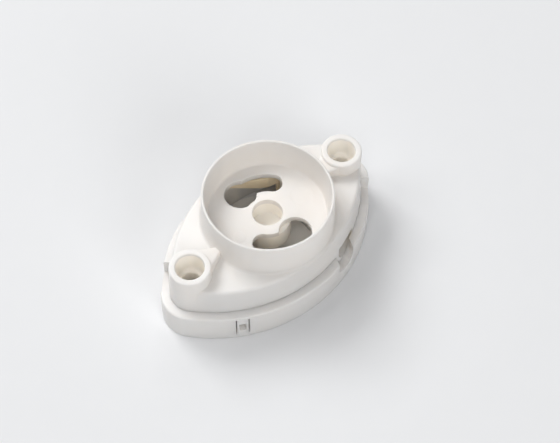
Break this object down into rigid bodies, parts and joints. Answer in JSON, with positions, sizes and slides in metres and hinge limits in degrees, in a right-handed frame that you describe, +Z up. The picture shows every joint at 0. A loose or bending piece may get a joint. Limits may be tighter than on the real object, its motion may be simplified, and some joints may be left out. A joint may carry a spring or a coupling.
{
  "type": "fluorescent starter holder",
  "caption": "Eye-shaped holder for a fluorescent tube starter: round cup with keyholes on a two-part base, screw terminals inside and a fixing boss at each end.",
  "frame": {"origin": "centre of the flat back face of the base tray, under the axis of the cup", "axes": "+Z up through the cup, +X along the line of the two fixing holes, +Y to the side; right means +X"},
  "size_m": [0.0494, 0.03, 0.02],
  "materials": {
    "white_plastic": "satin moulded thermoplastic, off-white",
    "white_plastic_back": "satin moulded thermoplastic, off-white",
    "spring_brass": "rolled spring brass strip, slightly tarnished",
    "zinc_steel": "bright zinc-plated steel"
  },
  "bodies": {
    "holder": {"housing": "white_plastic", "base_tray": "white_plastic_back", "contact_right": "spring_brass", "contact_left": "spring_brass", "terminal_nut_right": "zinc_steel", "terminal_nut_left": "zinc_steel"},
    "clamp_right": {"clamp_plate_right": "zinc_steel"},
    "clamp_left": {"clamp_plate_left": "zinc_steel"},
    "screw_right": {"terminal_screw_right": "zinc_steel"},
    "screw_left": {"terminal_screw_left": "zinc_steel"}
  },
  "joints": [
    {"name": "clamp_right_travel", "type": "slide", "parent": "holder", "child": "clamp_right", "axis": [0, 0, -1], "range_m": [0, 0.0015]},
    {"name": "screw_right_turn", "type": "hinge", "parent": "clamp_right", "child": "screw_right", "pos_m": [0.0098, -0.0036, 0.006], "axis": [0, 0, -1], "range_deg": [0, 1080]},
    {"name": "clamp_left_travel", "type": "slide", "parent": "holder", "child": "clamp_left", "axis": [0, 0, -1], "range_m": [0, 0.0015]},
    {"name": "screw_left_turn", "type": "hinge", "parent": "clamp_left", "child": "screw_left", "pos_m": [-0.0098, 0.0036, 0.006], "axis": [0, 0, -1], "range_deg": [0, 1080]}
  ],
  "couplings": [
    {"joint": "screw_right_turn", "follows": "clamp_right_travel", "rad_per_m": 12566},
    {"joint": "screw_left_turn", "follows": "clamp_left_travel", "rad_per_m": 12566}
  ]
}
